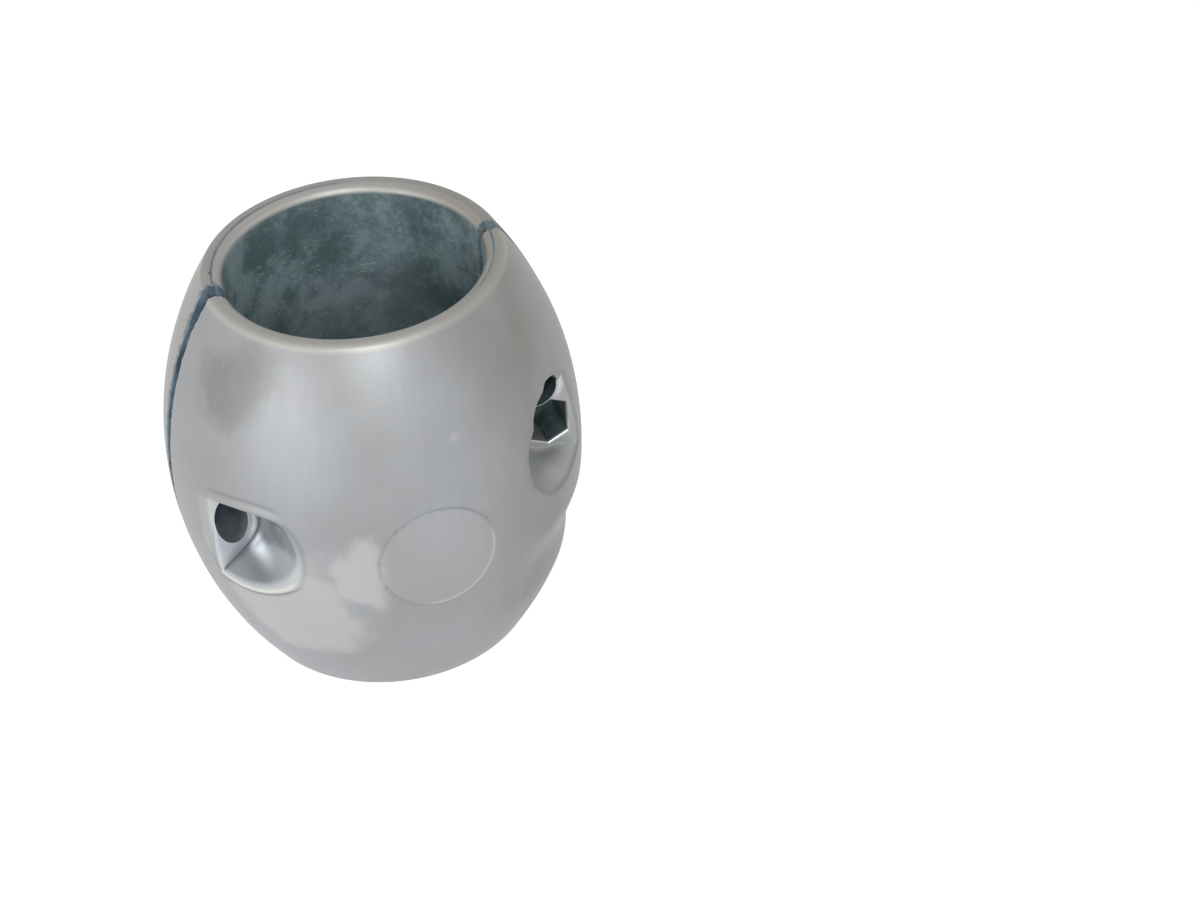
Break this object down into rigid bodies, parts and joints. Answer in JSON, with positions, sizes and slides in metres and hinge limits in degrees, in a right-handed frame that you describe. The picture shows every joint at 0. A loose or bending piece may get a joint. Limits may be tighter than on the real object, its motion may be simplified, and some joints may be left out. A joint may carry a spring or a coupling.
{
  "type": "shaft anode",
  "caption": "Barrel-shaped zinc shaft anode, split along its bore into two half castings with drafted pockets for the clamping screws and nuts.",
  "frame": {"origin": "centre of the shaft bore at mid length", "axes": "+Z along the bore; Y is square to the parting faces, with the half that carries the round pad at -Y; X lies in the parting gap"},
  "size_m": [0.0994, 0.0994, 0.101],
  "materials": {
    "zinc_front": "satin cast zinc",
    "zinc_rear": "satin cast zinc"
  },
  "bodies": {
    "root": {"front_half": "zinc_front", "rear_half": "zinc_rear"}
  },
  "joints": []
}
